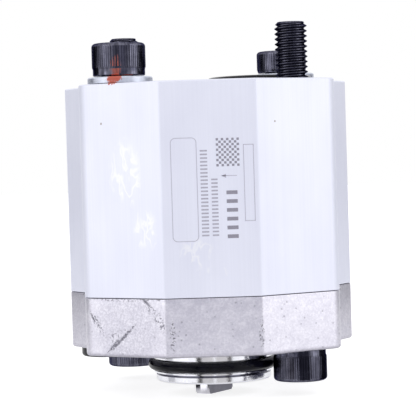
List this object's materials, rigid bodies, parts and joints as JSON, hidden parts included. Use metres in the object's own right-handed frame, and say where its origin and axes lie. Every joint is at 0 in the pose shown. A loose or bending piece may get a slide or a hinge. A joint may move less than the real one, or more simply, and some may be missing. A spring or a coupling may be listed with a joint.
{
  "type": "external gear pump",
  "caption": "Compact external gear pump with a cast front flange, tang-ended drive shaft, O-ring pilot and rear suction port.",
  "frame": {"origin": "where the drive shaft's axis meets the flange's mounting face", "axes": "+Z along the shafts from the mounting face towards the closed rear face; +Y from the drive shaft towards the driven shaft; +X towards the suction port's side"},
  "size_m": [0.0712, 0.086, 0.0914],
  "materials": {
    "anodised_aluminium": "clear anodised extrusion, satin",
    "cast_aluminium": "natural die casting, mottled",
    "bearing_alloy": "machined bearing aluminium",
    "ground_steel": "hardened and ground",
    "black_oxide_steel": "black oxide",
    "zinc_plate": "bright zinc plate",
    "spring_steel": "phosphated spring steel",
    "bush_bronze": "lined bronze, matte",
    "nitrile_rubber": "moulded black rubber",
    "backup_plastic": "natural polyamide",
    "plug_plastic": "black polyethylene"
  },
  "bodies": {
    "housing": {"pump_body": "anodised_aluminium", "front_flange": "cast_aluminium", "front_bearing_block": "bearing_alloy", "rear_bearing_block": "bearing_alloy", "front_drive_bush": "bush_bronze", "front_driven_bush": "bush_bronze", "rear_drive_bush": "bush_bronze", "rear_driven_bush": "bush_bronze", "front_balance_seal": "nitrile_rubber", "rear_balance_seal": "nitrile_rubber", "front_backup_strip": "backup_plastic", "rear_backup_strip": "backup_plastic", "body_joint_seal": "nitrile_rubber", "outlet_transfer_o_ring": "nitrile_rubber", "pilot_o_ring": "nitrile_rubber", "suction_port_o_ring": "nitrile_rubber", "shaft_lip_seal": "nitrile_rubber", "garter_spring": "spring_steel", "seal_retaining_ring": "spring_steel", "assembly_screw_front_left": "black_oxide_steel", "assembly_screw_back_right": "black_oxide_steel", "mounting_screw_front_right": "black_oxide_steel", "mounting_screw_back_left": "black_oxide_steel", "washer_front_left": "zinc_plate", "washer_back_right": "zinc_plate", "locating_dowel_front": "ground_steel", "locating_dowel_back": "ground_steel", "outlet_port_plug": "plug_plastic"},
    "drive_shaft": {"drive_gear_shaft": "ground_steel"},
    "driven_shaft": {"driven_gear_shaft": "ground_steel"}
  },
  "joints": [
    {"name": "drive_shaft_spin", "type": "hinge", "parent": "housing", "child": "drive_shaft", "pos_m": [0, 0, 0], "axis": [0, 0, 1], "continuous": true},
    {"name": "driven_shaft_spin", "type": "hinge", "parent": "housing", "child": "driven_shaft", "pos_m": [0, 0.026, 0.034], "axis": [0, 0, 1], "continuous": true}
  ],
  "couplings": [
    {"joint": "driven_shaft_spin", "follows": "drive_shaft_spin", "ratio": -1}
  ]
}
